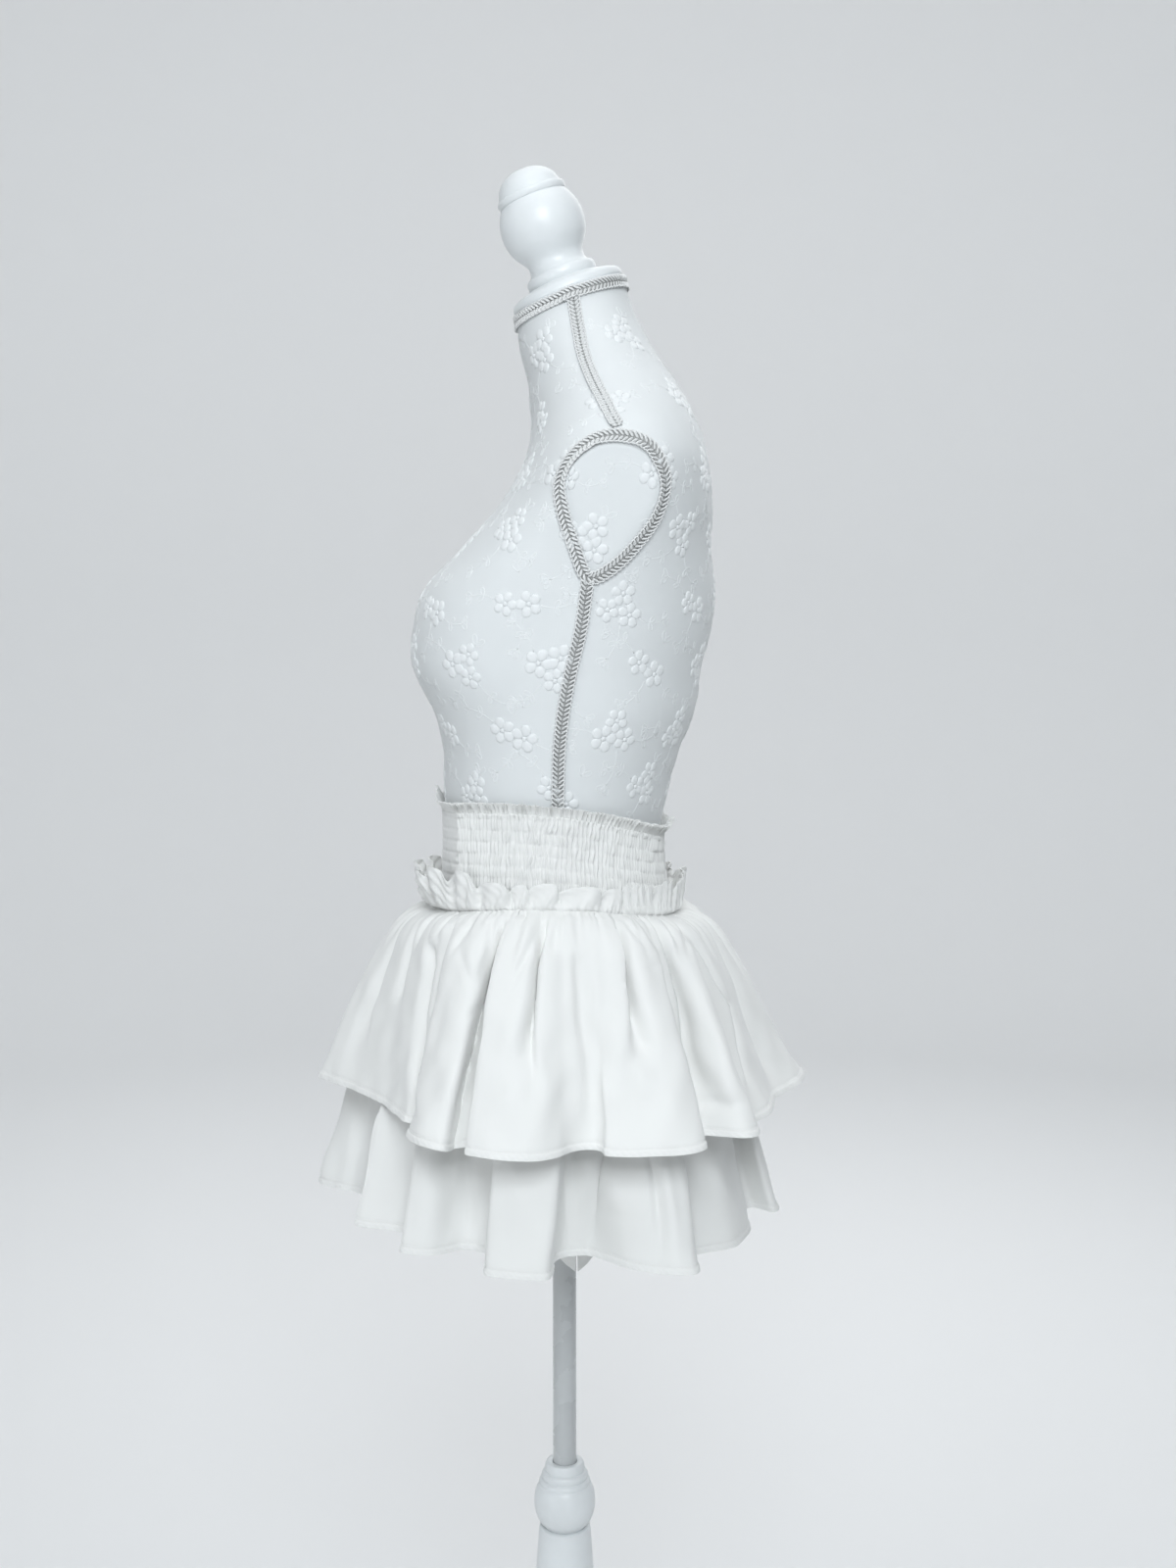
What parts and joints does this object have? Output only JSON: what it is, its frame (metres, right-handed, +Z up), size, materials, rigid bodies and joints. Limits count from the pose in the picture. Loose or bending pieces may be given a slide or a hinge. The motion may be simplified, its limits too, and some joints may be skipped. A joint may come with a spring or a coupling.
{
  "type": "tiered skort on dress form",
  "caption": "High-waisted skort with a smocked waistband, two gathered flounces and hidden shorts, worn on a limbless dress form on a round stand.",
  "frame": {"origin": "centre of the stand's underside, on the floor", "axes": "+Z up along the pole, -Y the front of the garment and the form, +X the wearer's left side"},
  "size_m": [0.4057, 0.3945, 1.5195],
  "materials": {
    "skort_cloth": "white soft satin crepe with a slight sheen",
    "form_cover": "white woven cover with raised white embroidery",
    "gimp_braid": "white and grey gimp braid",
    "white_paint": "turned wood under white satin paint",
    "white_pole": "white satin paint"
  },
  "bodies": {
    "stand": {"base": "white_paint", "column": "white_paint", "ball_collar": "white_paint"},
    "mast": {"pole": "white_pole"},
    "figure": {"torso": "form_cover", "socket": "white_pole", "neck_cap": "white_paint", "finial": "white_paint", "neck_braid": "gimp_braid", "armhole_braid_left": "gimp_braid", "armhole_braid_right": "gimp_braid", "shoulder_braid_left": "gimp_braid", "shoulder_braid_right": "gimp_braid", "side_braid_left": "gimp_braid", "side_braid_right": "gimp_braid", "waistband_front": "skort_cloth", "waistband_back": "skort_cloth", "waistband_frill": "skort_cloth", "heading_ruffle": "skort_cloth", "upper_tier_front": "skort_cloth", "upper_tier_back": "skort_cloth", "lower_tier_front": "skort_cloth", "lower_tier_back": "skort_cloth", "shorts_front_left": "skort_cloth", "shorts_front_right": "skort_cloth", "shorts_back_left": "skort_cloth", "shorts_back_right": "skort_cloth"}
  },
  "joints": [
    {"name": "height_slide", "type": "slide", "parent": "stand", "child": "mast", "axis": [0, 0, 1], "range_m": [-0.12, 0.15]},
    {"name": "form_swivel", "type": "hinge", "parent": "mast", "child": "figure", "pos_m": [0, 0, 0.945], "axis": [0, 0, 1], "continuous": true}
  ]
}
